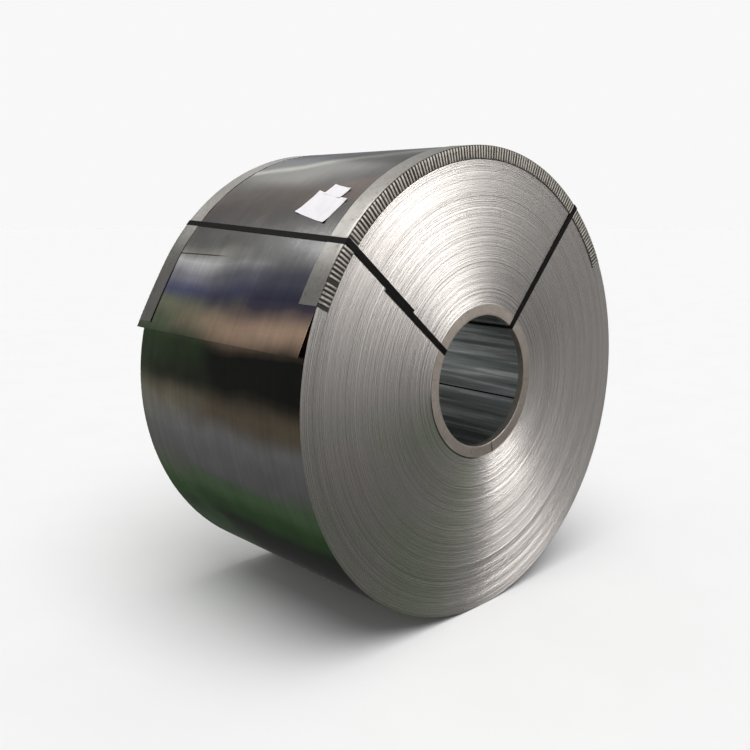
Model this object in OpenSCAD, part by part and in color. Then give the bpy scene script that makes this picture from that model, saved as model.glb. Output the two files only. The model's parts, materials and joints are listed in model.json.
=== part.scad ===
/* [Coil] */
// Outer diameter of the wound strip
coil_od = 1800; // [1400:10:2200]
// Width of the strip, which is the length of the coil
coil_w = 1010; // [700:5:1300]
// Diameter of the eye
eye_d = 508; // [400:1:620]
// Bands of turns that stand a little in or out on each end
turn_bands = 40; // [10:1:60]
// Most that a band of turns is set in from its neighbours
turn_step = 1.5; // [0.2:0.1:3]

/* [Strip end] */
// Thickness of the strip's free end
strip_t = 1; // [0.5:0.1:3]
// Angle at which the free end leaves the coil, from +X towards +Z
lift_angle = 150.5; // [146:0.5:165]
// Length of strip that springs off the coil
free_len = 274; // [260:2:400]
// Radius of the curve that the sprung strip keeps
spring_r = 3750; // [2500:50:6000]

/* [Edge guards] */
// Thickness of the guard sheet
guard_t = 0.8; // [0.5:0.1:1.5]
// Width of the smooth leg on the wound surface
guard_leg = 88; // [60:1:150]
// Depth of the pleated leg on the coil's end
guard_flange = 54; // [30:1:90]
// Height of a pleat above the leg that carries it
pleat_h = 4.5; // [2:0.5:8]
// Width of a pleat
pleat_w = 8.5; // [4:0.5:12]
// Distance from one pleat to the next along the rim
pleat_pitch = 16; // [14:1:40]
// Angle at which both guards start, from +X towards +Z
guard_start = 28; // [10:1:40]
// Length of the near guard past the point where the strip lifts
near_overrun = 98; // [40:1:240]
// Length of the far guard past the point where the strip lifts
far_overrun = 246; // [40:1:256]

/* [Eye rings] */
// Width of a ring's flange around the eye
ring_flange = 42; // [25:1:70]
// Thickness of a ring's flange
ring_t = 1; // [0.5:0.1:2]
// Length of the lip that a ring folds into the eye
ring_lip = 25; // [10:1:40]
// Thickness of that lip
ring_lip_t = 0.3; // [0.2:0.05:0.4]
// Angle of the joint in a ring, from +X towards +Z
ring_joint = -78.5; // [-90:0.5:-60]
// Width of the slit at the joint
ring_slit = 2; // [1:0.5:5]

/* [Straps] */
// Width of the strapping
strap_w = 24; // [19:1:40]
// Thickness of the strapping
strap_t = 0.6; // [0.4:0.05:0.6]
// Angle of the left strap on the near rim
left_near_rim = 141.6; // [130:0.1:144]
// Angle of the left strap on the far rim
left_far_rim = 137.8; // [130:0.1:144]
// Angle of the left strap in the eye
left_eye = 147.3; // [130:0.1:160]
// Angle of the right strap on both rims
right_rim = 48; // [45:0.5:70]
// Angle of the right strap in the eye
right_eye = 49; // [40:0.5:75]
// Sideways shift between the two lapped ends of the left strap
lap_shift = 10; // [0:0.5:12]
// Distance from the eye to the start of the lap
lap_start = 242; // [60:2:260]
// Length of the lap
lap_len = 160; // [100:2:200]

/* [Papers] */
// Thickness of a paper
paper_t = 0.4; // [0.2:0.1:1]
// Length and width of the sheet
sheet_size = [198, 122];
// Distance of the sheet's centre from the near guard's inner edge
sheet_gap = 161; // [130:1:300]
// Angle of the sheet's centre
sheet_angle = 131.7; // [100:0.1:132]
// Length and width of the tag
tag_size = [112, 56];
// Place of the tag's centre from the sheet's, towards the near end and up around the coil
tag_shift = [16, 82];
// Turn of both papers out of line with the coil
paper_tilt = -14.3; // [-45:0.1:45]

/* [Hidden] */
$fn = 180;

coil_r = coil_od / 2;
eye_r = eye_d / 2;
half_w = coil_w / 2;

// Clearance of each piece from what it lies on
guard_seat = 0.2;
ring_seat = 0.05;
strap_seat = 0.2;
strap_eye_seat = 0.05;
paper_seat = 0.2;
// How deep the root of the free end is let into the turns under it
tail_root = 0.3;
// How deep one lapped end of the strap beds into the other
lap_bed = 0.1;
// Plain edge that a pleat leaves along both sides of its leg
pleat_margin = 2;
// How far a guard's sprung stretch laps its round one, so that the two are one piece
band_lap = 10;
// Flush edge between the banded part of an end and what covers the rest of it
band_margin = 6;

ring_r = eye_r + ring_flange;
guard_in = guard_seat + guard_t - guard_flange;
spring_centre = (coil_r - spring_r) * [cos(lift_angle), sin(lift_angle)];
band_first = ring_r + band_margin;
band_last = coil_r - guard_flange - band_margin;
band_pitch = (band_last - band_first) / turn_bands;
strap_in = coil_r + guard_seat + guard_t + strap_seat;
strap_eye_h = ring_seat + ring_t + strap_seat;
strap_eye_r = eye_r - ring_seat - ring_lip_t - strap_eye_seat;
strap_pleat_h = guard_seat + guard_t + pleat_h + strap_seat;
strap_rim_h = strap_eye_h + (strap_pleat_h - strap_eye_h)
    * (strap_in - strap_eye_r) / (strap_in - strap_eye_r - guard_flange);
sheet_along = half_w + guard_seat - guard_leg - sheet_gap;

// Degrees turned along an arc of a given length and radius
function arc_angle(length, radius) = length / radius * 180 / PI;
// Recess of one band of turns; the turn of 137.5 degrees keeps neighbours unlike
function band_recess(i) = turn_step * (0.1 + 0.9 * abs(sin(i * 137.5 + 20)));
// Point at a radius and an angle
function polar(radius, angle) = radius * [cos(angle), sin(angle)];

// Piece of a flat ring between two radii and two angles
module ring_sector(r_in, r_out, from, to) {
    steps = 6;
    reach = r_out * 1.2;
    intersection() {
        difference() {
            circle(r_out);
            circle(r_in);
        }
        polygon(concat([[0, 0]], [for (i = [0:steps]) polar(reach, from + (to - from) * i / steps)]));
    }
}

// Band that follows the wound surface and then the sprung end, at two heights above them;
// the round stretch stops short of the lift, where both curves would touch
module wrap_band(low, high, from, overrun) {
    ring_sector(coil_r + low, coil_r + high, from, lift_angle - arc_angle(band_lap, coil_r));
    translate(spring_centre) ring_sector(spring_r + low, spring_r + high,
        lift_angle - arc_angle(2 * band_lap, spring_r), lift_angle + arc_angle(overrun, spring_r));
}

// Strip wound into one solid, with its outer end sprung off
module coil() {
    near_end = [for (i = [0:turn_bands - 1], side = [0, 1])
        [band_first + (i + side) * band_pitch, half_w - band_recess(i)]];
    profile = concat([[eye_r, half_w], [band_first, half_w]], near_end,
                     [[band_last, half_w], [coil_r, half_w]]);
    far_profile = [for (i = [len(profile) - 1:-1:0]) [profile[i][0], -profile[i][1]]];
    color("silver") rotate([90, 0, 0]) {
        rotate_extrude() polygon(concat(profile, far_profile));
        translate([0, 0, -half_w]) linear_extrude(coil_w)
            translate(spring_centre) ring_sector(spring_r - tail_root - strip_t, spring_r - tail_root,
                lift_angle, lift_angle + arc_angle(free_len, spring_r));
    }
}

// Angle steel sheet over one rim, with its smooth leg on the turns and its pleated leg on the end
module edge_guard(overrun) {
    top = half_w + guard_seat;
    rim = guard_seat + guard_t;
    start = guard_start + arc_angle(pleat_pitch / 2, coil_r);
    round_pleats = floor((lift_angle - start) / arc_angle(pleat_pitch, coil_r));
    sprung_pleats = floor(overrun / pleat_pitch - 0.5);
    translate([0, 0, top - guard_leg]) linear_extrude(guard_leg + guard_t)
        wrap_band(guard_seat, rim, guard_start, overrun);
    translate([0, 0, top]) linear_extrude(guard_t) wrap_band(guard_in, rim, guard_start, overrun);
    for (i = [0:round_pleats])
        rotate(start + i * arc_angle(pleat_pitch, coil_r)) translate([coil_r, 0, top]) pleat();
    translate(spring_centre) for (i = [1:sprung_pleats])
        rotate(lift_angle + arc_angle(i * pleat_pitch, spring_r)) translate([spring_r, 0, top]) pleat();
}

// One raised pleat, whose root is inside the leg
module pleat() {
    length = guard_flange - 2 * pleat_margin;
    translate([guard_in + pleat_margin, -pleat_w / 2, 0]) cube([length, pleat_w, guard_t + pleat_h]);
}

module near_edge_guard() { color("darkgray") rotate([90, 0, 0]) edge_guard(near_overrun); }
module far_edge_guard() { color("darkgray") rotate([90, 0, 0]) mirror([0, 0, 1]) edge_guard(far_overrun); }

// Flanged ring that guards the eye's edge, slit at its joint
module eye_ring() {
    lip_out = eye_r - ring_seat;
    lip_in = lip_out - ring_lip_t;
    seat = half_w + ring_seat;
    difference() {
        rotate_extrude() polygon([[lip_in, half_w - ring_lip], [lip_out, half_w - ring_lip],
            [lip_out, seat], [ring_r, seat], [ring_r, seat + ring_t], [lip_in, seat + ring_t]]);
        rotate(ring_joint) translate([eye_r + ring_t, -ring_slit / 2, half_w])
            cube([ring_flange, ring_slit, 2 * ring_t]);
    }
}

module near_eye_ring() { color("rosybrown") rotate([90, 0, 0]) eye_ring(); }
module far_eye_ring() { color("rosybrown") rotate([90, 0, 0]) mirror([0, 0, 1]) eye_ring(); }

// Patch of a thin shell around the coil, cut by a prism that points outwards
module shell_patch(r_in, thickness, angle) {
    reach = 30;
    intersection() {
        translate([0, 0, -half_w - reach]) linear_extrude(coil_w + 2 * reach) difference() {
            circle(r_in + thickness);
            circle(r_in);
        }
        rotate(angle) translate([r_in - reach, 0, 0]) rotate([0, 90, 0]) linear_extrude(2 * reach) children();
    }
}

// Strap across the wound surface, from its near angle to its far angle
module strap_over(near_angle, far_angle) {
    middle = (near_angle + far_angle) / 2;
    length = coil_w + 2 * strap_rim_h + 2 * strap_t;
    shift = strap_in * sin((near_angle - far_angle) / 2);
    shell_patch(strap_in, strap_t, middle)
        polygon([[-length / 2, shift - strap_w / 2], [-length / 2, shift + strap_w / 2],
                 [length / 2, -shift + strap_w / 2], [length / 2, -shift - strap_w / 2]]);
}

// Strap through the eye; its near end is longer where the strap down the end is raised
module strap_through(angle, raise) {
    reach = half_w + strap_eye_h + strap_t;
    shell_patch(strap_eye_r - strap_t, strap_t, angle)
        translate([-reach - raise, -strap_w / 2]) square([2 * reach + raise, strap_w]);
}

// Strap down the near end, from the eye to the rim; part of it is drawn, shifted to one side,
// and its end in the eye is cut round, so that the eye stays clear
module strap_down(rim_angle, eye_angle, from, to, shift, raise) {
    inner = polar(strap_eye_r - strap_t, eye_angle);
    outer = polar(strap_in + strap_t, rim_angle);
    run = norm(outer - inner);
    heading = atan2(outer[1] - inner[1], outer[0] - inner[0]);
    slope = atan2(strap_rim_h - strap_eye_h, run);
    begin = from == 0 ? -strap_w / 2 : from * run;
    difference() {
        translate([inner[0], inner[1], half_w + strap_eye_h + raise]) rotate([0, -slope, heading])
            translate([begin, shift - strap_w / 2, 0]) cube([to * run - begin, strap_w, strap_t]);
        translate([0, 0, half_w]) cylinder(r = strap_eye_r - strap_t, h = 2 * strap_rim_h);
    }
}

// Left strap, whose two ends lap on the near end of the coil
module strap_left() {
    run = strap_in - strap_eye_r;
    lap_from = lap_start / run;
    lap_to = (lap_start + lap_len) / run;
    raise = strap_t - lap_bed;
    color("black") rotate([90, 0, 0]) {
        strap_over(left_near_rim, left_far_rim);
        strap_through(left_eye, raise);
        strap_down(left_near_rim, left_eye, lap_from, 1, lap_shift / 2, 0);
        strap_down(left_near_rim, left_eye, 0, lap_to, -lap_shift / 2, raise);
        mirror([0, 0, 1]) strap_down(left_far_rim, left_eye, 0, 1, 0, 0);
    }
}

module strap_right() {
    color("black") rotate([90, 0, 0]) {
        strap_over(right_rim, right_rim);
        strap_through(right_eye, 0);
        strap_down(right_rim, right_eye, 0, 1, 0, 0);
        mirror([0, 0, 1]) strap_down(right_rim, right_eye, 0, 1, 0, 0);
    }
}

// Paper on the wound surface, at its own height above it
module paper(size, along, angle, height) {
    color("white") rotate([90, 0, 0]) translate([0, 0, along])
        shell_patch(coil_r + height, paper_t, angle) rotate(paper_tilt) square(size, center = true);
}

module paper_sheet() { paper(sheet_size, sheet_along, sheet_angle, paper_seat); }
module paper_tag() {
    paper(tag_size, sheet_along + tag_shift[0], sheet_angle - arc_angle(tag_shift[1], coil_r),
        2 * paper_seat + paper_t);
}

coil();
near_edge_guard();
far_edge_guard();
near_eye_ring();
far_eye_ring();
strap_left();
strap_right();
paper_sheet();
paper_tag();
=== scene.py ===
import json
import math
import random
import bmesh
import bpy
from mathutils import Matrix, Vector, noise


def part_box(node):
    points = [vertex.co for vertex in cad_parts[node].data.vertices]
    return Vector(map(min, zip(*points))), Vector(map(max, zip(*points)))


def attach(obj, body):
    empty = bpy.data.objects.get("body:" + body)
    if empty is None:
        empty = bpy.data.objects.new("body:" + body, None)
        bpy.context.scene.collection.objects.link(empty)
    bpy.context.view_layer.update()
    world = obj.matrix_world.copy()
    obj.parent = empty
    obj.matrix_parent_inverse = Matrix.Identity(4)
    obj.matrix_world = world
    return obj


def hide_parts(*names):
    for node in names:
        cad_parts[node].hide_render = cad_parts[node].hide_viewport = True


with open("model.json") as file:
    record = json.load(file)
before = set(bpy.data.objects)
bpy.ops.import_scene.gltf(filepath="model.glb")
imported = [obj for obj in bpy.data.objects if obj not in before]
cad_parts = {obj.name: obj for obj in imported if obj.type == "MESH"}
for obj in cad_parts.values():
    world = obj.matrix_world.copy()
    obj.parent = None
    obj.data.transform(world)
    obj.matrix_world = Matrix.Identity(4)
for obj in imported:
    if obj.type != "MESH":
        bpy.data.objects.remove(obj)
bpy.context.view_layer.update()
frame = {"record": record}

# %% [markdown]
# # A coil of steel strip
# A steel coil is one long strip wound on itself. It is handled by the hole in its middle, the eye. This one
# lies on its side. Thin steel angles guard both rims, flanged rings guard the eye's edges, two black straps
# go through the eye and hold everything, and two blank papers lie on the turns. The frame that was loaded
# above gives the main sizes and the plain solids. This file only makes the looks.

# %% [markdown]
# ## Sizes
# The coil's radius, half its width and the eye's radius are read from the frame. The other sizes repeat the
# values of the part's source, in metres, because each new piece has to lie where its plain solid lies.

# %% Sizes that more than one piece needs
MM = 0.001
eye_mount = next(m for m in frame["record"]["mounts"] if m["name"] == "eye")
EYE_R = eye_mount["dims"]["r_mm"] * MM
COIL_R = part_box("coil")[1].z
HALF_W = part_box("coil")[1].y
GUARD_T, GUARD_LEG, GUARD_FLANGE, GUARD_SEAT = 0.8 * MM, 0.088, 0.054, 0.2 * MM
RING_R, RING_JOINT = EYE_R + 0.042, math.radians(-78.5)
print(f"coil radius {COIL_R:.3f} m, width {2 * HALF_W:.3f} m, eye radius {EYE_R:.3f} m")

# %% [markdown]
# ## From a mesh to a piece
# Round things are easiest to make about an upright axis. So each piece is made standing, with the near end of
# the coil up, and one quarter turn about X then lays its mesh down. The object itself is never turned: it
# stays at the origin, so a pattern on its Object coordinates stays on its place.

# %% A helper that turns a bmesh into a finished piece
LAY_DOWN = Matrix.Rotation(math.pi / 2, 4, "X")


def finish_piece(bm, name, materials, nodes, sharp_deg=30):
    """Lays the mesh down, makes it an object, and hands it to the frame."""
    bmesh.ops.transform(bm, matrix=LAY_DOWN, verts=bm.verts)
    for face in bm.faces:
        face.smooth = True
    for edge in bm.edges:
        if len(edge.link_faces) == 2 and edge.calc_face_angle() > math.radians(sharp_deg):
            edge.smooth = False
    mesh = bpy.data.meshes.new(name)
    bm.to_mesh(mesh)
    bm.free()
    piece = bpy.data.objects.new(name, mesh)
    bpy.context.scene.collection.objects.link(piece)
    for material in materials:
        mesh.materials.append(material)
    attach(piece, "root")
    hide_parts(*nodes)
    mesh.calc_loop_triangles()
    print(f"{name}: {len(mesh.loop_triangles)} triangles")


near_way = LAY_DOWN @ Vector((0, 0, 1))
print("the near end faces along", tuple(round(part) for part in near_way))

# %% Helpers for points, lines and unevenness
def polar(radius, angle, height=0.0):
    """A point of the standing coil from its radius, its angle and its height."""
    return Vector((radius * math.cos(angle), radius * math.sin(angle), height))


def around(angle):
    """The direction around the standing coil's axis at an angle."""
    return Vector((-math.sin(angle), math.cos(angle), 0))


def spaced(low, high, count):
    """Evenly spaced numbers from low to high."""
    return [low + (high - low) * k / (count - 1) for k in range(count)]


def chain(bm, points):
    """A line of edges through the points."""
    verts = [bm.verts.new(p) for p in points]
    edges = [bm.edges.new(pair) for pair in zip(verts, verts[1:])]
    return verts + edges


def swell(point, scale, seed):
    """Smooth noise from -1 to 1 at a point, one bump about every 1 / scale metres."""
    return noise.noise(point * scale + Vector((seed, 0, 0)))


def turn_over(bm):
    """Swaps the near and the far end, for the pieces that are there twice."""
    bmesh.ops.transform(bm, matrix=Matrix.Scale(-1, 4, (0, 0, 1)), verts=bm.verts)
    bmesh.ops.reverse_faces(bm, faces=bm.faces)


rim_top = LAY_DOWN @ polar(COIL_R, math.radians(90), HALF_W)
print("top of the near rim:", tuple(round(part, 3) for part in rim_top))

# %% [markdown]
# ## Nodes as sums
# A material is a sum of nodes, and in Python it reads best as a sum. The class below wraps one output of a
# node. Adding or multiplying two of them adds the Math or Vector Math node that does it, and one method makes
# every other node: its settings are set first, then its sockets get their values or links.

# %% A wrapper for the outputs of shader nodes
class Wire:
    """A number, vector or colour on its way through a material."""

    def __init__(self, tree, socket=None):
        self.tree, self.socket = tree, socket

    def node(self, kind, settings=None, inputs=None, out=0):
        """Makes any node. Settings are its properties, and inputs are its sockets' values or wires."""
        made = self.tree.nodes.new("ShaderNode" + kind)
        for key, value in (settings or {}).items():
            if key == "stops":
                set_stops(made.color_ramp, value)
            else:
                setattr(made, key, value)
        for key, value in (inputs or {}).items():
            if isinstance(value, Wire):
                self.tree.links.new(value.socket, made.inputs[key])
            else:
                made.inputs[key].default_value = value
        return Wire(self.tree, made.outputs[out])

    def maths(self, operation, *terms):
        """One step of maths on numbers, or on vectors if any of the terms is one."""
        on_vectors = any(isinstance(t, Wire) and t.socket.type == "VECTOR" for t in terms)
        kind = "VectorMath" if on_vectors else "Math"
        return self.node(kind, {"operation": operation}, dict(enumerate(terms)))

    def __add__(self, other):
        return self.maths("ADD", self, other)

    def __radd__(self, other):
        return self.maths("ADD", other, self)

    def __sub__(self, other):
        return self.maths("SUBTRACT", self, other)

    def __rsub__(self, other):
        return self.maths("SUBTRACT", other, self)

    def __mul__(self, other):
        return self.maths("MULTIPLY", self, other)

    def __rmul__(self, other):
        return self.maths("MULTIPLY", other, self)

    def __truediv__(self, other):
        return self.maths("DIVIDE", self, other)

    def __rtruediv__(self, other):
        return self.maths("DIVIDE", other, self)

    def scaled(self, factor):
        """The vector, longer or shorter by a factor that may itself be a wire."""
        return self.node("VectorMath", {"operation": "SCALE"}, {0: self, "Scale": factor})

    def ramp(self, stops):
        """A colour for each value from 0 to 1. Each stop is a place and a colour."""
        return self.node("ValToRGB", {"stops": stops}, {0: self})

    def within(self, low, high, to_low=0.0, to_high=1.0):
        """The value with one range spread smoothly over another."""
        return self.node("MapRange", {"interpolation_type": "SMOOTHSTEP"},
                         {0: self, 1: low, 2: high, 3: to_low, 4: to_high})

    def close_to(self, value, reach):
        """1 where this value is no further than reach from another, and 0 elsewhere."""
        return self.maths("COMPARE", self, value, reach)

    def mix(self, first, second):
        """The first colour where this value is 0 and the second where it is 1."""
        return self.node("Mix", {"data_type": "RGBA"}, {0: self, 6: first, 7: second}, out=2)


print("a wire can be added, subtracted, multiplied and divided, on either side of a number")

# %% [markdown]
# ## Colours
# A shader counts light, and the numbers that a screen shows a colour with aren't in step with light. So a
# colour that is written as a screen shows it is made linear first. A colour ramp then goes from stop to stop.

# %% Stops of a ramp and colours of a screen
def set_stops(ramp, stops):
    """Puts the stops on a colour ramp. Places go first, because the ramp sorts its stops by them."""
    ramp.interpolation = "EASE"
    while len(ramp.elements) < len(stops):
        ramp.elements.new(0.5)
    for element, (place, _) in zip(ramp.elements, stops):
        element.position = place
    for element, (_, colour) in zip(ramp.elements, stops):
        element.color = colour


def seen(red, green, blue):
    """A colour as a screen shows it, from 0 to 255, made linear for a shader."""
    def linear(value):
        share = value / 255
        return share / 12.92 if share <= 0.04045 else ((share + 0.055) / 1.055) ** 2.4
    return (linear(red), linear(green), linear(blue), 1)


print(f"a screen's middle grey, 128 of 255, is {seen(128, 128, 128)[0]:.3f} of full light")

# %% [markdown]
# ## The start of every finish
# Each finish is a new material with one Principled shader. Its patterns are made from the same few things:
# the point on the piece, the way its surface faces, the distance from the coil's axis and the turn about that
# axis.

# %% A new material and what its patterns are made from
class Finish:
    """A new material, with the places that its patterns are made from."""

    def __init__(self, name):
        self.material = bpy.data.materials.new(name)
        self.material.use_nodes = True
        self.tree = self.material.node_tree
        self.shader = self.tree.nodes["Principled BSDF"]
        self.start = Wire(self.tree)
        self.place = self.start.node("TexCoord", out="Object")
        split = self.start.node("SeparateXYZ", None, {0: self.place}).socket.node
        self.x, self.y, self.z = (Wire(self.tree, s) for s in split.outputs)
        self.normal = self.start.node("NewGeometry", out="Normal")

    def noise(self, vector, scale, detail=2.0, roughness=0.5):
        """Cloudy noise. More detail and more roughness make it grainier."""
        return self.start.node("TexNoise", {"noise_dimensions": "3D"},
                               {"Vector": vector, "Scale": scale, "Detail": detail, "Roughness": roughness})

    def lines(self, value, scale, detail=2.0, roughness=0.5):
        """Noise along one value only: lines where the value is the same."""
        return self.start.node("TexNoise", {"noise_dimensions": "1D"},
                               {"W": value, "Scale": scale, "Detail": detail, "Roughness": roughness})

    def vector(self, x, y, z):
        return self.start.node("CombineXYZ", None, {0: x, 1: y, 2: z})

    def bump(self, height, strength, distance, normal=None):
        """A normal that makes a pattern look raised, on top of another one if it is given."""
        inputs = {"Height": height, "Strength": strength, "Distance": distance}
        if normal is not None:
            inputs["Normal"] = normal
        return self.start.node("Bump", None, inputs)

    def radius(self):
        """The distance from the coil's axis."""
        return self.start.maths("SQRT", self.x * self.x + self.z * self.z)

    def turn(self):
        """The angle about the coil's axis, from 0 to 1 in a full turn."""
        angle = self.start.maths("ARCTAN2", self.z, self.x)
        return self.start.maths("FRACT", angle / math.tau + 1.0)

    def set(self, **values):
        """Gives the shader its values and links; a name's _ stands for a space."""
        for key, value in values.items():
            socket = self.shader.inputs[key.replace("_", " ")]
            if isinstance(value, Wire):
                self.tree.links.new(value.socket, socket)
            else:
                socket.default_value = value
        return self.material


print("a finish starts from its point, normal, radius and turn")

# %% [markdown]
# ## The ends of the turns
# The end of a coil shows the edges of several hundred turns. Each edge is cut a little rounded and stands a
# little in or out, so light is spread along the radius only, and the end shines in two opposite fans, as a
# record does. A tilt of the normal along the radius, another for each turn, gives exactly that, while a plain
# rough metal would give one round spot. Dark gaps between turns are widest near the eye. On the lower left a
# green reflection is painted into the steel's colour, and a painted shadow of the ring darkens the end just
# outside it.

# %% The material of the turns' edges
LOWER_LEFT = 0.62


def end_turns():
    f = Finish("turn_edges")
    r, turn = f.radius(), f.turn()
    fine = f.lines(r, 1100, 2, 0.7).within(0.3, 0.7)
    medium = f.lines(r, 400, 2, 0.6).within(0.3, 0.7)
    drift = f.noise(f.place, 2.5, 3)
    tilt = (fine - 0.5) * 1.05 + (medium - 0.5) * 0.36
    tilted = f.start.maths("NORMALIZE", f.normal + f.vector(f.x, 0.0, f.z).scaled(tilt / r))
    gaps = f.lines(r + 3.0, 240, 3, 0.75).within(0.30, 0.40)
    near_eye = r.within(0.30, 0.62, 1.0, 0.45)
    gap_depth = near_eye * drift.within(0.35, 0.65, 0.45, 1.2)
    lines = f.lines(r + 7.0, 420, 3, 0.85).within(0.3, 0.7, 0.70, 1.16)
    off_lower_left = (turn - LOWER_LEFT) * (turn - LOWER_LEFT)
    # A green reflection, painted into the steel's colour on the lower left.
    green = off_lower_left.within(0.0, 0.018, 1.0, 0.0) * drift.within(0.3, 0.6)
    steel = green.mix((0.61, 0.574, 0.542, 1), (0.52, 0.565, 0.43, 1))
    # Painted shadow of the ring: the end just outside the ring is darker on the lower left.
    painted_ring_shadow = r.within(RING_R + 2 * MM, RING_R + 9 * MM, 0.12, 1.0)
    painted_ring_shadow = off_lower_left.within(0.006, 0.02).within(0, 1, painted_ring_shadow, 1.0)
    shade = lines * (1.0 - gap_depth * (1.0 - gaps) * 0.75) * painted_ring_shadow
    colour = shade.mix((0.01, 0.009, 0.008, 1), steel)
    rough = medium * 0.1 + fine * 0.1 + 0.2
    return f.set(Base_Color=colour, Metallic=1.0, Roughness=rough, Normal=tilted)


TURN_EDGES = end_turns()
print("material", TURN_EDGES.name)

# %% [markdown]
# ## The face of the strip
# Cold rolled strip is almost a mirror, and in a hall it looks dark, with long soft bands that run along the
# coil. A plain setting has nothing to mirror, so the bands are painted reflections in the colour. Each row
# below holds angles about the axis, in degrees from the right, and the colours of the painted reflections
# that show there. A colour ramp takes at most 32 stops. The lights make one side brighter than another,
# which LEVELS gives by angle, so each colour is divided by its level.

# %% The bands around the coil
NEAR_BANDS = [
    (0, (88, 87, 85)), (30, (92, 91, 88)), (62, (108, 106, 103)), (92, (170, 170, 168)),
    (100, (176, 178, 178)), (105, (136, 138, 140)), (109, (222, 222, 216)), (112, (112, 112, 112)),
    (115, (70, 70, 72)), (120, (78, 76, 74)), (123, (74, 73, 72)), (126, (120, 106, 99)),
    (134, (86, 85, 84)), (148, (84, 84, 84)), (153, (62, 62, 72)), (158, (38, 38, 52)),
    (164, (128, 108, 92)), (170, (20, 20, 18)), (177, (20, 20, 18)), (184, (70, 63, 53)),
    (190, (124, 115, 101)), (197, (104, 99, 86)), (203, (66, 96, 60)), (210, (38, 62, 32)),
    (216, (18, 27, 15)), (225, (13, 15, 13)), (234, (38, 40, 38)), (250, (62, 62, 60)),
    (275, (56, 57, 58)), (305, (60, 60, 60)), (340, (78, 77, 76))]
FAR_BANDS = [
    (0, (82, 81, 80)), (30, (88, 87, 85)), (62, (108, 107, 105)), (84, (116, 117, 120)),
    (91, (56, 60, 78)), (96, (62, 67, 84)), (99, (104, 108, 112)), (107, (80, 84, 90)),
    (111, (186, 186, 174)), (114, (116, 115, 110)), (121, (128, 125, 120)), (127, (110, 102, 98)),
    (134, (84, 80, 78)), (144, (84, 84, 82)), (147, (120, 118, 112)), (149, (204, 200, 184)),
    (152, (120, 120, 126)), (156, (66, 68, 92)), (160, (92, 94, 76)), (165, (64, 72, 56)),
    (171, (38, 50, 32)), (178, (40, 47, 33)), (186, (98, 92, 80)), (193, (127, 122, 111)),
    (200, (93, 94, 79)), (210, (58, 82, 50)), (220, (54, 82, 48)), (229, (64, 88, 54)),
    (240, (70, 74, 68)), (266, (60, 61, 62)), (300, (64, 64, 64))]
LEVELS = [
    (0, 0.3), (70, 0.45), (96, 0.75), (104, 1.1), (112, 1.0), (120, 0.8), (132, 0.62), (142, 0.5),
    (152, 0.42), (180, 0.14), (188, 0.10), (204, 0.095), (220, 0.09), (240, 0.08), (300, 0.09), (360, 0.3)]
BRIGHTEST = 0.95


def level_at(angle):
    """How bright the room is where a mirror at this angle sends the eye."""
    for (low, first), (high, second) in zip(LEVELS, LEVELS[1:]):
        if angle <= high:
            return first + (second - first) * (angle - low) / (high - low)


def band_ramp(wire, bands):
    """A ramp around the coil whose two ends meet."""
    stops = []
    for angle, colour in bands:
        gain = 1 / level_at(angle)
        metal = [min(part * gain, BRIGHTEST) for part in seen(*colour)[:3]]
        stops.append((angle / 360, (*metal, 1)))
    stops.append((1.0, stops[0][1]))
    return wire.ramp(stops)


print(f"{len(NEAR_BANDS)} bands on the near half, {len(FAR_BANDS)} on the far half")

# %% [markdown]
# Noise that is stretched along the coil pushes the bands about, so that they aren't ruled straight, and the
# ones on the upper left lean a little. The near and the far bands meet along a slanted, uneven line. Fine
# lines around the coil come from the rolling. Along a crease on the left side's far half runs a dark line of
# painted shade, and the right side is duller than the left.

# %% The material of the outer turn
CREASE_TURN, CREASE_REACH = 0.409, 0.00045


def strip_face():
    f = Finish("strip_face")
    push = f.noise(f.vector(f.x, f.y * 0.35, f.z), 2.2, 3, 0.5) - 0.5
    slant = f.noise(f.place, 1.1, 2) - 0.5
    swirl = f.noise(f.vector(f.x, f.y * 0.8, f.z), 5.0, 2, 0.4) - 0.5
    true_turn = f.turn()
    lean = true_turn.within(0.31, 0.36, 0.05, 0.0) * true_turn.within(0.2, 0.25)
    pushed = true_turn + push * 0.022 + f.y * slant * 0.03 + swirl * 0.014 - f.y * lean
    turn = f.start.maths("FRACT", pushed + 1.0)
    slope = turn.within(0.27, 0.57, -0.36, 0.36) * turn.within(0.05, 0.22) * turn.within(0.7, 0.9, 1.0, 0.0)
    unevenness = (f.noise(f.place, 2.6, 3) - 0.5) * 0.9
    far_half = (f.y - slope + unevenness).within(-0.22, 0.3)
    # The bands are painted reflections, set in the base colour.
    bands = far_half.mix(band_ramp(turn, NEAR_BANDS), band_ramp(turn, FAR_BANDS))
    rolled = f.lines(f.y, 210, 4, 0.7)
    soft_lines = f.lines(f.y, 34, 3, 0.6).within(0.3, 0.7, 0.94, 1.05)
    # Painted shade: a dark line along the crease.
    crease_shade = true_turn.close_to(CREASE_TURN, CREASE_REACH) * f.y.within(0.07, 0.2, 0.0, 0.85)
    smear = f.noise(f.vector(f.x * 1.5, f.y * 1.2, f.z * 1.5), 5.0, 4, 0.6)
    shade = (rolled * 0.14 + 0.93) * (smear * 0.5 + 0.75) * soft_lines * (1.0 - crease_shade)
    right_side = turn.within(0.12, 0.24, 1.0, 0.0) + turn.within(0.80, 0.92)
    rough = smear * 0.12 + rolled * 0.06 + right_side * 0.13 + 0.16
    waves = f.noise(f.vector(f.x, f.y * 0.5, f.z), 4.0, 2)
    normal = f.bump(waves, 0.25, 0.004, f.bump(rolled, 0.06, 0.0004))
    return f.set(Base_Color=bands.scaled(shade), Metallic=1.0, Roughness=rough, Normal=normal)


STRIP_FACE = strip_face()
print("material", STRIP_FACE.name)

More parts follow.
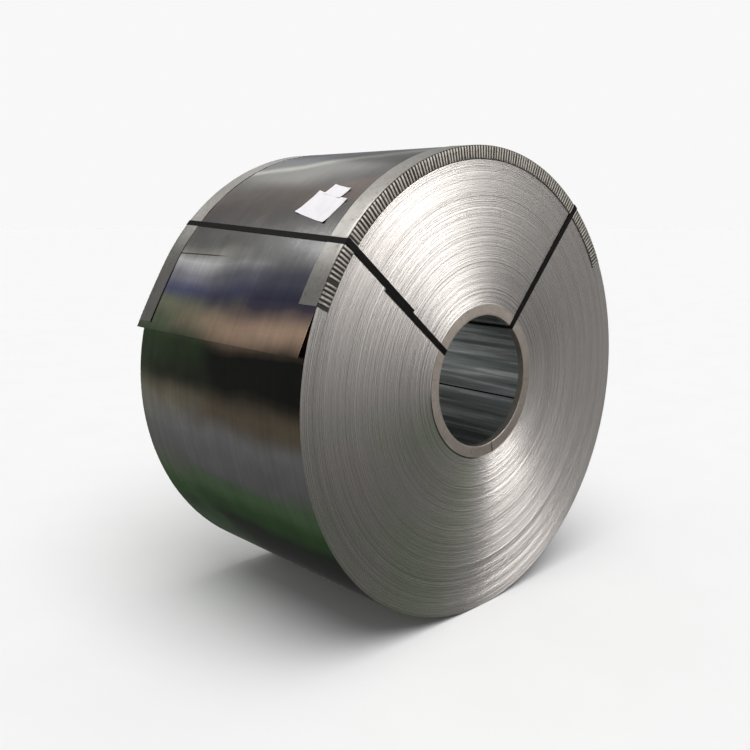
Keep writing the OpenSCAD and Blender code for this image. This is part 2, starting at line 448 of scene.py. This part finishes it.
# %% [markdown]
# ## The eye's wall
# The wall of the eye is the inside of the first turn. It mirrors the light that comes in at its two ends, so
# it is paler than the outside and streaked along the coil; here both are painted reflections in the colour,
# and stretched noise gives the streaks. The strip's inner end shows as one dark line.

# %% The material of the eye's wall
INNER_END_TURN, INNER_END_REACH = 0.93, 0.002


def eye_wall():
    f = Finish("eye_wall")
    streaks = f.noise(f.vector(f.x * 19.0, f.y * 0.6, f.z * 19.0), 2.0, 4, 0.6)
    # The paleness and the pale streaks are painted reflections.
    mirrored = streaks.ramp([(0.30, (0.22, 0.24, 0.24, 1)), (0.45, (0.42, 0.445, 0.44, 1)),
                             (0.54, (0.60, 0.62, 0.62, 1)), (0.62, (0.95, 0.95, 0.95, 1))])
    colour = f.turn().close_to(INNER_END_TURN, INNER_END_REACH).mix(mirrored, (0.01, 0.01, 0.01, 1))
    normal = f.bump(streaks, 0.2, 0.002)
    return f.set(Base_Color=colour, Metallic=1.0, Roughness=streaks * 0.2 + 0.24, Normal=normal)


EYE_WALL = eye_wall()
print("material", EYE_WALL.name)

# %% [markdown]
# ## The wound strip
# A lathe would make the wound body, and spin is Blender's lathe. The section through one wall is a rectangle
# of four corners. Its two end lines are cut into bands, each band is set in a little, and a full spin turns
# the section into the coil. The strip's outer end is a thin sheet on a much larger circle, so it springs off.

# %% Build the wound body
END_CUTS, STEPS = 170, 220
DEEP_SHARE, DEEP_STEP, FINE_STEP = 0.05, 0.5 * MM, 0.07 * MM


def wound_body(bm, draw):
    """The coil as a lathe would turn it, with bands of turns that stand in a little."""
    corners = [(EYE_R, -HALF_W), (COIL_R, -HALF_W), (COIL_R, HALF_W), (EYE_R, HALF_W)]
    verts = [bm.verts.new((r, 0, h)) for r, h in corners]
    sides = [bm.edges.new((verts[i], verts[(i + 1) % 4])) for i in range(4)]
    bmesh.ops.subdivide_edges(bm, edges=[sides[0], sides[2]], cuts=END_CUTS)
    bmesh.ops.subdivide_edges(bm, edges=[sides[1], sides[3]], cuts=5)
    inner, outer = RING_R + 4 * MM, COIL_R - GUARD_FLANGE - 3 * MM
    for end in (-1, 1):
        row = [v for v in bm.verts if v.co.z * end > HALF_W - 1e-6 and inner < v.co.x < outer]
        for vert in sorted(row, key=lambda v: v.co.x):
            step = DEEP_STEP if draw.random() < DEEP_SHARE else FINE_STEP
            vert.co.z -= end * step * draw.random()
    section = list(bm.verts) + list(bm.edges)
    bmesh.ops.spin(bm, geom=section, axis=(0, 0, 1), cent=(0, 0, 0), angle=math.tau,
                   steps=STEPS, use_merge=True)
    bmesh.ops.remove_doubles(bm, verts=bm.verts, dist=1e-6)
    bmesh.ops.recalc_face_normals(bm, faces=bm.faces)
    for face in bm.faces:
        middle = face.calc_center_median()
        if abs(face.normal.z) > 0.5:
            face.material_index = 1
        elif middle.xy.length < EYE_R + 1 * MM:
            face.material_index = 2


coil_bm = bmesh.new()
wound_body(coil_bm, random.Random(11))
print("the wound body has", len(coil_bm.faces), "faces")

# %% [markdown]
# The free end is one line across the strip, spun about the centre of the larger circle. Solidify gives it the
# strip's thickness, and its last stretch waves a little.

# %% Build the free end
LIFT = math.radians(150.5)
SPRING_R, FREE_LEN, STRIP_T, TAIL_ROOT, TAIL_WAVE = 3.75, 0.274, 1 * MM, 0.3 * MM, 2.2 * MM
SPRING_CENTRE = Vector((math.cos(LIFT), math.sin(LIFT), 0)) * (COIL_R - SPRING_R)


def free_end(bm):
    """The strip's outer end, which leaves the turns at the angle LIFT and springs off."""
    sheet = bmesh.new()
    start = SPRING_CENTRE + polar(SPRING_R - TAIL_ROOT, LIFT)
    chain(sheet, [start - Vector((0, 0, HALF_W)), start + Vector((0, 0, HALF_W))])
    bmesh.ops.subdivide_edges(sheet, edges=sheet.edges, cuts=40)
    bmesh.ops.spin(sheet, geom=list(sheet.verts) + list(sheet.edges), axis=(0, 0, 1),
                   cent=SPRING_CENTRE, angle=FREE_LEN / SPRING_R, steps=28)
    bmesh.ops.recalc_face_normals(sheet, faces=sheet.faces)
    if sum(f.normal.dot(polar(1, LIFT)) for f in sheet.faces) < 0:
        bmesh.ops.reverse_faces(sheet, faces=sheet.faces)
    bmesh.ops.solidify(sheet, geom=sheet.faces, thickness=STRIP_T)
    for vert in sheet.verts:
        away = (vert.co - start).xy.length / FREE_LEN
        lift = TAIL_WAVE * away ** 2 * swell(Vector((vert.co.z, away * 0.3, 0)), 3.0, 7)
        vert.co += polar(lift, LIFT)
    mesh = bpy.data.meshes.new("sheet")
    sheet.to_mesh(mesh)
    sheet.free()
    bm.from_mesh(mesh)
    bpy.data.meshes.remove(mesh)


free_end(coil_bm)
finish_piece(coil_bm, "wound_strip", [STRIP_FACE, TURN_EDGES, EYE_WALL], ["coil"],
             sharp_deg=12)

# %% [markdown]
# ## Galvanised sheet
# The guards and rings are thin zinc coated sheet. New zinc is pale grey with a faint patchwork of crystals,
# the spangle, and it goes dull and a little dirty where it is handled. A Voronoi pattern gives the spangle.
# The guards get painted shade on the lower left, the flat slots between the pleats are darkened with painted
# shade and soil, and the ring has a dark line at its joint.

# %% The materials of guards and rings
def zinc(name, light, dark, rough, painted_shade_lower_left=1.0):
    """Zinc from two tones and a roughness. The last number is how bright the painted shade leaves it on the
    lower left.
    """
    f = Finish(name)
    turn = f.turn()
    spangle = f.start.node("TexVoronoi", {"feature": "F1"}, {"Vector": f.place, "Scale": 160.0}, out=1)
    grain = f.start.node("SeparateColor", None, {0: spangle})
    cloud = f.noise(f.place, 9.0, 4, 0.6)
    fine = f.noise(f.place, 260.0, 3, 0.7)
    dirt = f.noise(f.place, 38.0, 5, 0.75).within(0.52, 0.72)
    tone = grain * 0.14 + cloud * 0.5 + fine * 0.22 + 0.10
    colour = dirt.within(0, 1, 0, 0.45).mix(tone.mix(dark, light), seen(96, 90, 82))
    # Painted shade: the sheet is darker on the lower left, by the last number.
    colour = colour.scaled(turn.within(0.370, 0.420, 1.0, painted_shade_lower_left))
    joint = (turn * math.tau - math.tau).close_to(RING_JOINT, 3 * MM / RING_R)
    colour = joint.mix(colour, (0.012, 0.011, 0.01, 1))
    normal = f.bump(fine, 0.25, 0.0004, f.bump(cloud, 0.3, 0.003))
    roughness = grain * 0.08 + dirt * 0.2 + rough
    return f.set(Base_Color=colour, Metallic=0.85, Roughness=roughness, Normal=normal)


GUARD_SHEET = zinc("guard_zinc", seen(206, 202, 196), seen(124, 121, 116), 0.36, 0.50)
GUARD_PLEAT = zinc("guard_zinc_worked", seen(176, 171, 163), seen(118, 114, 107), 0.46)
# The slots between the pleats are darkened by painted shade and by soil.
GUARD_SLOT = zinc("guard_zinc_shaded_and_soiled", seen(74, 71, 67), seen(34, 33, 31), 0.55)
RING_SHEET = zinc("ring_zinc", seen(186, 176, 166), seen(116, 108, 100), 0.36)
print("materials", GUARD_SHEET.name, GUARD_PLEAT.name, GUARD_SLOT.name, RING_SHEET.name)

# %% [markdown]
# ## The edge guards
# An edge guard starts as a flat strip of sheet. One half lies on the turns, and the other is folded down over
# the end. To follow the round rim, the folded half is crimped into pleats. Here a bent line, the guard's
# section, is spun around the rim, first about the coil's axis and then about the centre of the sprung end.
# One pleat is made from one extruded face and then set around the rim.

# %% The guard's section
ROUND, SPRUNG = "round", "sprung"
BEND_R = 1.2 * MM


def follow(stretch, radius, angle, height=0.0):
    """A point at a height above the turns, on the round stretch or on the sprung one."""
    if stretch == ROUND:
        return polar(COIL_R + radius, angle, height)
    return SPRING_CENTRE + polar(SPRING_R + radius, angle, height)


def guard_section(bm, angle):
    """The line of a guard's section, from the edge on the turns to the edge on the end."""
    rim = GUARD_SEAT + GUARD_T / 2
    top = HALF_W + rim
    leg = [(rim, h) for h in spaced(top - GUARD_LEG, top - BEND_R, 7)]
    corner = [(rim - BEND_R * (1 - math.cos(a)), top - BEND_R * (1 - math.sin(a)))
              for a in (math.radians(30), math.radians(60), math.radians(90))]
    flange = [(r, top) for r in spaced(rim - BEND_R, rim - GUARD_FLANGE, 5)[1:]]
    return chain(bm, [follow(ROUND, r, angle, h) for r, h in leg + corner + flange])


print(f"a guard's leg on the turns is {GUARD_LEG * 1000:.0f} mm, its flange {GUARD_FLANGE * 1000:.0f} mm")

# %% [markdown]
# A pleat is a flat grid that is raised into a low box, narrower at the top. Its rounded long edges catch the
# light, and it has no underside, which nobody sees. Each copy is turned, tipped and sized a little
# differently.

# %% One pleat, and how it is set on the rim
PLEAT_W, PLEAT_H, PLEAT_PITCH = 8.5 * MM, 4.5 * MM, 0.016
FOOT_SPREAD, TOP_TAPER, EDGE_ROUND = 1.6 * MM, 3.2 * MM, 0.7 * MM


def pleat_mesh():
    """One pleat lying along X, with its root at the origin and its far end towards the coil's axis."""
    bm = bmesh.new()
    length = GUARD_FLANGE - 1.5 * MM
    bmesh.ops.create_grid(bm, x_segments=3, y_segments=1, size=0.5)
    bmesh.ops.scale(bm, vec=(length, PLEAT_W + FOOT_SPREAD, 1), verts=bm.verts)
    bmesh.ops.translate(bm, vec=(-length / 2, 0, 0), verts=bm.verts)
    raised = bmesh.ops.extrude_face_region(bm, geom=bm.faces[:])
    top = [v for v in raised["geom"] if isinstance(v, bmesh.types.BMVert)]
    bmesh.ops.translate(bm, vec=(0, 0, PLEAT_H), verts=top)
    bmesh.ops.scale(bm, vec=(1, PLEAT_W / (PLEAT_W + TOP_TAPER), 1), verts=top)
    for vert in top:
        if vert.co.x > -1 * MM:
            vert.co += Vector((-3.0 * MM, 0, -1.2 * MM))
        elif vert.co.x < -length + 1 * MM:
            vert.co.x += 1.0 * MM
    bmesh.ops.recalc_face_normals(bm, faces=bm.faces)
    along = [e for e in bm.edges if e.is_manifold and abs(e.verts[0].co.z - e.verts[1].co.z) < 1e-6
             and e.verts[0].co.z > 1 * MM and e.calc_face_angle() > 0.6]
    bmesh.ops.bevel(bm, geom=along, offset=EDGE_ROUND, offset_type="OFFSET", affect="EDGES",
                    segments=2, profile=0.5, material=-1)
    underside = [face for face in bm.faces if face.normal.z < -0.9]
    bmesh.ops.delete(bm, geom=underside, context="FACES_ONLY")
    for face in bm.faces:
        face.material_index = 2
    mesh = bpy.data.meshes.new("pleat")
    bm.to_mesh(mesh)
    bm.free()
    return mesh


def place_pleat(bm, mesh, stretch, angle, draw):
    """Adds one pleat at an angle, no two alike."""
    before = len(bm.verts)
    bm.from_mesh(mesh)
    bm.verts.ensure_lookup_table()
    new = bm.verts[before:]
    lean = Matrix.Rotation(math.radians(draw.uniform(-1.6, 1.6)), 4, "Z")
    rise = Matrix.Rotation(math.radians(draw.uniform(-0.8, 0.5)), 4, "Y")
    size = Matrix.Diagonal((draw.uniform(0.955, 1.0), draw.uniform(0.85, 1.12), draw.uniform(0.8, 1.0), 1))
    seat = GUARD_SEAT + GUARD_T * 0.5
    root = follow(stretch, seat, angle, HALF_W + seat)
    place = Matrix.Translation(root) @ Matrix.Rotation(angle, 4, "Z") @ lean @ rise @ size
    bmesh.ops.transform(bm, matrix=place, verts=new)


print(f"{PLEAT_W * 1000:.1f} mm pleats, one every {PLEAT_PITCH * 1000:.0f} mm")

# %% [markdown]
# The guard's free edge waves, and it stands up more past the place where the turns end and the sheet springs
# off. Under a strap it is pressed flat. The far guard is made as a near one and turned over.

# %% Build the guards
GUARD_START = math.radians(28)
PRESSED_AT, PRESSED_SPAN, RISES_FROM = (48, 139.5), 6, 146


def edge_guard(name, node, overrun, mirrored, seed, edge_lift):
    """A guard that goes on past the turns by an overrun, with its free edge lifted towards that end."""
    draw = random.Random(seed)
    bm = bmesh.new()
    pitch = PLEAT_PITCH / COIL_R
    sprung_pitch = PLEAT_PITCH / SPRING_R
    steps = round((LIFT - GUARD_START) / pitch)
    section = guard_section(bm, GUARD_START)
    swept = bmesh.ops.spin(bm, geom=section, axis=(0, 0, 1), cent=(0, 0, 0),
                           angle=LIFT - GUARD_START, steps=steps)
    bmesh.ops.spin(bm, geom=swept["geom_last"], axis=(0, 0, 1), cent=SPRING_CENTRE,
                   angle=overrun / SPRING_R, steps=max(8, round(overrun / PLEAT_PITCH)))
    bmesh.ops.remove_doubles(bm, verts=bm.verts, dist=1e-6)
    inner = HALF_W - GUARD_LEG
    for vert in bm.verts:
        angle = math.atan2(vert.co.y, vert.co.x)
        free = max(0.0, 1 - (vert.co.z - inner) / GUARD_LEG)
        clear = min(1.0, min(abs(math.degrees(angle) - a) for a in PRESSED_AT) / PRESSED_SPAN) ** 2
        past = max(0.0, math.degrees(angle) - RISES_FROM) / 20
        wave = 1.1 * MM * (1 + swell(Vector((angle * 4, vert.co.z, 0)), 2.5, seed))
        if vert.co.xy.length > COIL_R - 2 * MM:
            vert.co += polar(free ** 2 * clear * (wave + edge_lift * past), angle)
        elif vert.co.z > HALF_W:
            depth = (COIL_R - vert.co.xy.length) / GUARD_FLANGE
            vert.co.z += 0.25 * MM * depth * (1 + swell(Vector((angle * 9, 0, 0)), 3.0, seed + 3))
    bmesh.ops.recalc_face_normals(bm, faces=bm.faces)
    outside = next(f for f in bm.faces if abs(f.normal.z) < 0.3)
    if outside.normal.dot(polar(1, math.atan2(*reversed(outside.calc_center_median().xy)))) < 0:
        bmesh.ops.reverse_faces(bm, faces=bm.faces)
    for face in bm.faces:
        face.material_index = 1 if face.normal.z > 0.7 else 0
    bmesh.ops.solidify(bm, geom=bm.faces, thickness=GUARD_T)
    mesh = pleat_mesh()
    first = GUARD_START + pitch / 2
    for k in range(int((LIFT - first) / pitch) + 1):
        place_pleat(bm, mesh, ROUND, first + k * pitch, draw)
    for k in range(1, int(overrun / PLEAT_PITCH - 0.5) + 1):
        place_pleat(bm, mesh, SPRUNG, LIFT + k * sprung_pitch, draw)
    bpy.data.meshes.remove(mesh)
    if mirrored:
        turn_over(bm)
    finish_piece(bm, name, [GUARD_SHEET, GUARD_SLOT, GUARD_PLEAT], [node])


edge_guard("near_guard", "near_edge_guard", overrun=0.098, mirrored=False, seed=21, edge_lift=0.5 * MM)
edge_guard("far_guard", "far_edge_guard", overrun=0.246, mirrored=True, seed=22, edge_lift=2.5 * MM)

# %% [markdown]
# ## The eye rings
# A ring keeps hooks and mandrels off the inner turns. It is rolled from a strip, so it is open at one joint,
# with a flange on the coil's end and a lip that goes a little way into the eye. A spin that stops short of a
# full turn leaves the slit, and Solidify's operator gives the sheet its thickness.

# %% Build the rings
RING_T, RING_LIP, RING_SLIT, RING_BEND = 1 * MM, 0.025, 2 * MM, 2.0 * MM
RING_WALL = 0.28 * MM


def eye_ring(name, node, mirrored, seed):
    """A ring with its lip in the eye and its flange on the end."""
    bm = bmesh.new()
    lip = EYE_R - 0.1 * MM
    seat = HALF_W + 0.05 * MM
    start = RING_JOINT + RING_SLIT / 2 / RING_R
    lip_line = [(lip, seat - RING_LIP), (lip, seat - RING_LIP / 2), (lip, seat - RING_BEND)]
    corner = [(lip + RING_BEND * (1 - math.cos(a)), seat + RING_T - RING_BEND * (1 - math.sin(a)))
              for a in (math.radians(25), math.radians(50), math.radians(75), math.radians(90))]
    flange = [(r, seat + RING_T) for r in spaced(lip + RING_BEND, RING_R, 6)[1:]]
    edge = [(RING_R, seat + 0.1 * MM)]
    line = chain(bm, [polar(r, start, h) for r, h in lip_line + corner + flange + edge])
    bmesh.ops.spin(bm, geom=line, axis=(0, 0, 1), cent=(0, 0, 0),
                   angle=math.tau - RING_SLIT / RING_R, steps=160)
    bmesh.ops.remove_doubles(bm, verts=bm.verts, dist=1e-6)
    for vert in bm.verts:
        angle = math.atan2(vert.co.y, vert.co.x)
        out = max(0.0, (vert.co.xy.length - EYE_R) / (RING_R - EYE_R))
        if vert.co.z > seat + 0.5 * MM:
            vert.co.z += 0.35 * MM * out * swell(polar(1, angle), 2.2, seed)
    bmesh.ops.recalc_face_normals(bm, faces=bm.faces)
    if sum(face.normal.z for face in bm.faces) < 0:
        bmesh.ops.reverse_faces(bm, faces=bm.faces)
    bmesh.ops.solidify(bm, geom=bm.faces, thickness=RING_WALL)
    if mirrored:
        turn_over(bm)
    finish_piece(bm, name, [RING_SHEET], [node])


eye_ring("near_ring", "near_eye_ring", mirrored=False, seed=31)
eye_ring("far_ring", "far_eye_ring", mirrored=True, seed=32)

# %% [markdown]
# ## The straps
# Steel strapping is a thin, waxed, black band, pulled tight around the coil's wall. It is scuffed to grey in
# a few places, and it hardly shines. Noise gives both.

# %% The material of the strapping
def strap_paint():
    f = Finish("strap_black")
    scuff = f.noise(f.place, 70.0, 5, 0.75).within(0.58, 0.74)
    wax = f.noise(f.place, 14.0, 3)
    colour = (scuff * 0.4).mix(wax.mix(seen(7, 5, 5), seen(17, 13, 12)), seen(70, 64, 60))
    normal = f.bump(f.noise(f.place, 420.0, 2), 0.2, 0.0003)
    return f.set(Base_Color=colour, Metallic=0.0, Roughness=wax * 0.2 + 0.42,
                 Normal=normal, Specular_IOR_Level=0.07)


STRAP_PAINT = strap_paint()
print("material", STRAP_PAINT.name)

# %% [markdown]
# A strap is made the way it is threaded: two points across its width are extruded from station to station. It
# starts on the near end, goes over the turns, down the far end and back through the eye, and ends on top of
# its own start. The left strap's two ends lie a little beside each other.

# %% The stations along a strap's way
STRAP_W, STRAP_T = 0.024, 0.6 * MM
STRAP_R, STRAP_EYE_R = COIL_R + 1.2 * MM, EYE_R - 0.4 * MM
STRAP_EYE_H, STRAP_RIM_H = 1.25 * MM, 6.0 * MM
CORNER, RIM_ROUND, EYE_ROUND, CLEAR = 2 * MM, 1.2 * MM, 1.0 * MM, 0.1 * MM


def strap_way(near_rim, far_rim, eye_angle, shift, lap):
    """Stations, each a centre and a direction across. The lap's two ends are measured from the eye's edge."""
    def across(a, b):
        """Sideways direction of a run from a to b on an end."""
        return (b - a).cross(Vector((0, 0, 1))).normalized()

    near_in = polar(STRAP_EYE_R, eye_angle, HALF_W + STRAP_EYE_H)
    near_out = polar(STRAP_R, near_rim, HALF_W + STRAP_RIM_H)
    far_in = polar(STRAP_EYE_R, eye_angle, -HALF_W - STRAP_EYE_H)
    far_out = polar(STRAP_R, far_rim, -HALF_W - STRAP_RIM_H)
    side, far_side = across(near_in, near_out), across(far_in, far_out)
    run = (near_out - near_in).length
    begin, end = lap
    up = Vector((0, 0, STRAP_T))
    stations = [(near_in.lerp(near_out, d / run) + side * shift / 2, side)
                for d in spaced(begin, run - CORNER, 7)]
    heights = spaced(near_out.z, far_out.z, 25)
    heights[0] -= RIM_ROUND
    heights[-1] += RIM_ROUND
    stations += [(polar(STRAP_R + CLEAR, angle, height), around(angle))
                 for angle, height in zip(spaced(near_rim, far_rim, 25), heights)]
    stations += [(far_out.lerp(far_in, d / run), far_side) for d in spaced(CORNER, run - CORNER, 9)]
    heights = spaced(far_in.z, near_in.z, 13)
    heights[0] += EYE_ROUND
    heights[-1] -= EYE_ROUND
    stations += [(polar(STRAP_EYE_R, eye_angle, height), around(eye_angle)) for height in heights]
    stations += [(near_in.lerp(near_out, d / run) - side * shift / 2 + up, side)
                 for d in spaced(CORNER, end, 8)]
    return stations


left_way = strap_way(near_rim=math.radians(141.6), far_rim=math.radians(137.8),
                     eye_angle=math.radians(147.3), shift=10 * MM, lap=(0.242, 0.402))
right_way = strap_way(near_rim=math.radians(48), far_rim=math.radians(48),
                      eye_angle=math.radians(49), shift=0.0, lap=(0.10, 0.16))
for side_name, way in (("left", left_way), ("right", right_way)):
    length = sum((b[0] - a[0]).length for a, b in zip(way, way[1:]))
    print(f"the {side_name} strap is {length:.2f} m long")

# %% Extrude the straps
def strap(name, node, stations):
    """Extrudes one edge from station to station, and never lets it flip over."""
    bm = bmesh.new()
    centre, way = stations[0]
    pair = [bm.verts.new(centre + way * s * STRAP_W / 2) for s in (-1, 1)]
    edge = bm.edges.new(pair)
    for centre, way in stations[1:]:
        made = bmesh.ops.extrude_edge_only(bm, edges=[edge])["geom"]
        fresh = [v for v in made if isinstance(v, bmesh.types.BMVert)]
        edges = [e for e in made if isinstance(e, bmesh.types.BMEdge)]
        edge = next(e for e in edges if all(v in fresh for v in e.verts))
        old = [next(e.other_vert(v) for e in v.link_edges if e is not edge) for v in fresh]
        sign = 1 if (old[0].co - old[1].co).dot(way) > 0 else -1
        fresh[0].co = centre + way * sign * STRAP_W / 2
        fresh[1].co = centre - way * sign * STRAP_W / 2
    bmesh.ops.recalc_face_normals(bm, faces=bm.faces)
    over = [f for f in bm.faces if f.calc_center_median().xy.length > COIL_R]
    middle = over[len(over) // 2]
    if middle.normal.dot(middle.calc_center_median().xy.to_3d()) < 0:
        bmesh.ops.reverse_faces(bm, faces=bm.faces)
    bmesh.ops.solidify(bm, geom=bm.faces, thickness=STRAP_T)
    finish_piece(bm, name, [STRAP_PAINT], [node], sharp_deg=40)


strap("left_strap", "strap_left", left_way)
strap("right_strap", "strap_right", right_way)

# %% [markdown]
# ## The papers
# Two blank papers lie on the turns. A sheet of paper bends one way only, so each is a grid that is rolled
# around the coil, and its corners stand up a little.

# %% Paper and its material
def paper_stock():
    f = Finish("paper_white")
    fibre = f.noise(f.place, 900.0, 4, 0.7)
    cloud = f.noise(f.place, 22.0, 3)
    colour = (cloud * 0.8 + fibre * 0.2).mix(seen(226, 222, 226), seen(252, 249, 252))
    normal = f.bump(cloud, 0.35, 0.002, f.bump(fibre, 0.2, 0.0002))
    return f.set(Base_Color=colour, Roughness=0.75, Normal=normal)


PAPER = paper_stock()
print("material", PAPER.name)

# %% Roll the papers around the coil
PAPER_T, PAPER_TURN = 0.15 * MM, math.radians(-14.3)
SHEET_ALONG = HALF_W + GUARD_SEAT - GUARD_LEG - 0.161
SHEET_ANGLE = math.radians(131.7)
TAG_ALONG, TAG_ANGLE = SHEET_ALONG + 0.016, SHEET_ANGLE - 0.082 / COIL_R
FLAT_PART, RIPPLE = 0.35, 0.8 * MM


def paper(name, node, length, width, along, angle, height, curl, seed):
    """A paper with its middle at a place along and around the coil and at a height above it."""
    bm = bmesh.new()
    bmesh.ops.create_grid(bm, x_segments=26, y_segments=18, size=0.5)
    bmesh.ops.scale(bm, vec=(length, width, 1), verts=bm.verts)
    for vert in bm.verts:
        u, v = vert.co.x / length * 2, vert.co.y / width * 2
        vert.co.z = curl * max(0.0, abs(u * v) - FLAT_PART) ** 2 * (1 + 0.6 * swell(vert.co, 9.0, seed))
        vert.co.z += RIPPLE * (1 + swell(vert.co, 14.0, seed + 2)) * max(abs(u), abs(v)) ** 2
    bmesh.ops.rotate(bm, verts=bm.verts, matrix=Matrix.Rotation(PAPER_TURN, 3, "Z"))
    for vert in bm.verts:
        lift = vert.co.z + COIL_R + height
        turned = angle - vert.co.y / COIL_R
        vert.co = polar(lift, turned, along + vert.co.x)
    bmesh.ops.recalc_face_normals(bm, faces=bm.faces)
    if next(iter(bm.faces)).normal.dot(polar(1, angle)) < 0:
        bmesh.ops.reverse_faces(bm, faces=bm.faces)
    bmesh.ops.solidify(bm, geom=bm.faces, thickness=PAPER_T)
    finish_piece(bm, name, [PAPER], [node], sharp_deg=60)


paper("sheet_of_paper", "paper_sheet", length=0.198, width=0.122, along=SHEET_ALONG, angle=SHEET_ANGLE,
      height=0.5 * MM, curl=0.010, seed=51)
paper("paper_label", "paper_tag", length=0.112, width=0.056, along=TAG_ALONG, angle=TAG_ANGLE,
      height=1.4 * MM, curl=0.008, seed=52)

# %% [markdown]
# ## Floor and daylight
# A wide pale floor and a sun as broad as a bright sky give a plain setting with soft shadows. The steel is so
# smooth that it would mirror both and look far too pale, so neither is seen in it.

# %% Floor
def floor_finish():
    f = Finish("floor_pale")
    cloud = f.noise(f.place, 3.0, 3)
    return f.set(Base_Color=cloud.mix(seen(236, 236, 236), seen(240, 240, 240)), Roughness=1.0,
                 Specular_IOR_Level=0.0)


floor_bm = bmesh.new()
bmesh.ops.create_circle(floor_bm, cap_ends=True, segments=96, radius=60)
bmesh.ops.translate(floor_bm, vec=(0, 0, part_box("coil")[0].z), verts=floor_bm.verts)
floor_mesh = bpy.data.meshes.new("floor")
floor_bm.to_mesh(floor_mesh)
floor_bm.free()
floor_mesh.materials.append(floor_finish())
floor = bpy.data.objects.new("floor", floor_mesh)
bpy.context.scene.collection.objects.link(floor)
floor.visible_glossy = False

# %% Daylight
daylight = bpy.data.lights.new("daylight", "SUN")
daylight.energy, daylight.angle = 2.35, math.radians(55)
daylight_lamp = bpy.data.objects.new("daylight", daylight)
bpy.context.scene.collection.objects.link(daylight_lamp)
daylight_lamp.rotation_mode = "QUATERNION"
daylight_lamp.rotation_quaternion = Vector((-0.15, -0.35, 0.92)).to_track_quat("Z", "Y")
daylight_lamp.visible_glossy = False
print(f"daylight of strength {daylight.energy:.2f}, {math.degrees(daylight.angle):.0f} degrees across")

# %% [markdown]
# ## Lamps for the steel
# The steel shines only where it mirrors a lamp, so each lamp has one job. Key, low and side stand in front of
# the near end and make its two fans, each lamp for a lower part of them. Top, back and upper stand behind the
# coil. They make the pale streaks along the top of the turns, and back lights the far end too. All six are
# seen in reflections only, and leave the paper and the floor to the daylight.

# %% Lamps
def soft_light(name, direction, distance, size, power):
    """A square or oblong lamp in a direction from the coil, turned towards it."""
    light = bpy.data.lights.new(name, "AREA")
    light.shape, light.size, light.size_y = "RECTANGLE", size[0], size[1]
    light.energy = power
    lamp = bpy.data.objects.new(name, light)
    bpy.context.scene.collection.objects.link(lamp)
    lamp.location = Vector(direction).normalized() * distance
    lamp.rotation_mode = "QUATERNION"
    lamp.rotation_quaternion = Vector(direction).to_track_quat("Z", "Y")
    return lamp


LAMPS = [("key", (0.508, -0.80, 0.318), 10.0, (4.0, 4.0), 375),
         ("low", (0.53, -0.84, 0.12), 10.0, (3.6, 3.6), 85),
         ("side", (0.352, -0.934, -0.02), 10.0, (4.0, 4.0), 27),
         ("top", (-0.55, 0.75, 1.6), 6.0, (1.2, 4.0), 120),
         ("back", (0.32, 0.94, 0.14), 10.0, (3.4, 3.4), 190),
         ("upper", (0.36, 0.76, 0.54), 10.0, (2.6, 2.6), 14)]
for name, direction, distance, size, power in LAMPS:
    soft_light(name, direction, distance, size, power).visible_diffuse = False
    print(f"lamp {name}: {power} W")

# %% [markdown]
# ## World and camera
# The camera sees an even, almost white world. Everything else sees a dim one that is darker below, which is
# what the steel mirrors where no lamp stands. The camera stands to the left of the near end and a little
# above the eye, where both the end and the turns are seen, and a small shift moves the coil to its place in
# the frame.

# %% World
world = bpy.data.worlds.new("studio")
bpy.context.scene.world = world
world.use_nodes = True
sky = world.node_tree.nodes["Background"]
hall = Wire(world.node_tree)
straight = hall.node("LightPath", out="Is Camera Ray")
heading = hall.node("TexCoord", out="Generated")
upward = hall.node("SeparateXYZ", None, {0: heading}, out=2)
dim = upward.within(-0.7, 0.9, 0.06, 0.45)
grey = hall.node("CombineColor", None, {0: dim, 1: dim, 2: dim})
world.node_tree.links.new(straight.mix(grey, (0.94, 0.94, 0.94, 1)).socket, sky.inputs["Color"])
print("world", world.name)

# %% Camera
AZIMUTH, ELEVATION = math.radians(-44.308), math.radians(5.296)
from_camera = -Vector((math.sin(AZIMUTH) * math.cos(ELEVATION), -math.cos(AZIMUTH) * math.cos(ELEVATION),
                       math.sin(ELEVATION)))
camera_data = bpy.data.cameras.new("camera")
camera_data.sensor_width, camera_data.lens = 36, 41.47
camera_data.shift_x, camera_data.shift_y = -0.0174, -0.1194
camera = bpy.data.objects.new("camera", camera_data)
bpy.context.scene.collection.objects.link(camera)
camera.location = Vector((-2.84278, -2.88869, 0.74907)) * COIL_R
camera.rotation_mode = "QUATERNION"
camera.rotation_quaternion = from_camera.to_track_quat("-Z", "Y")
bpy.context.scene.camera = camera
bpy.context.scene.view_settings.view_transform = "Standard"
print("camera at", tuple(round(c, 3) for c in camera.location))
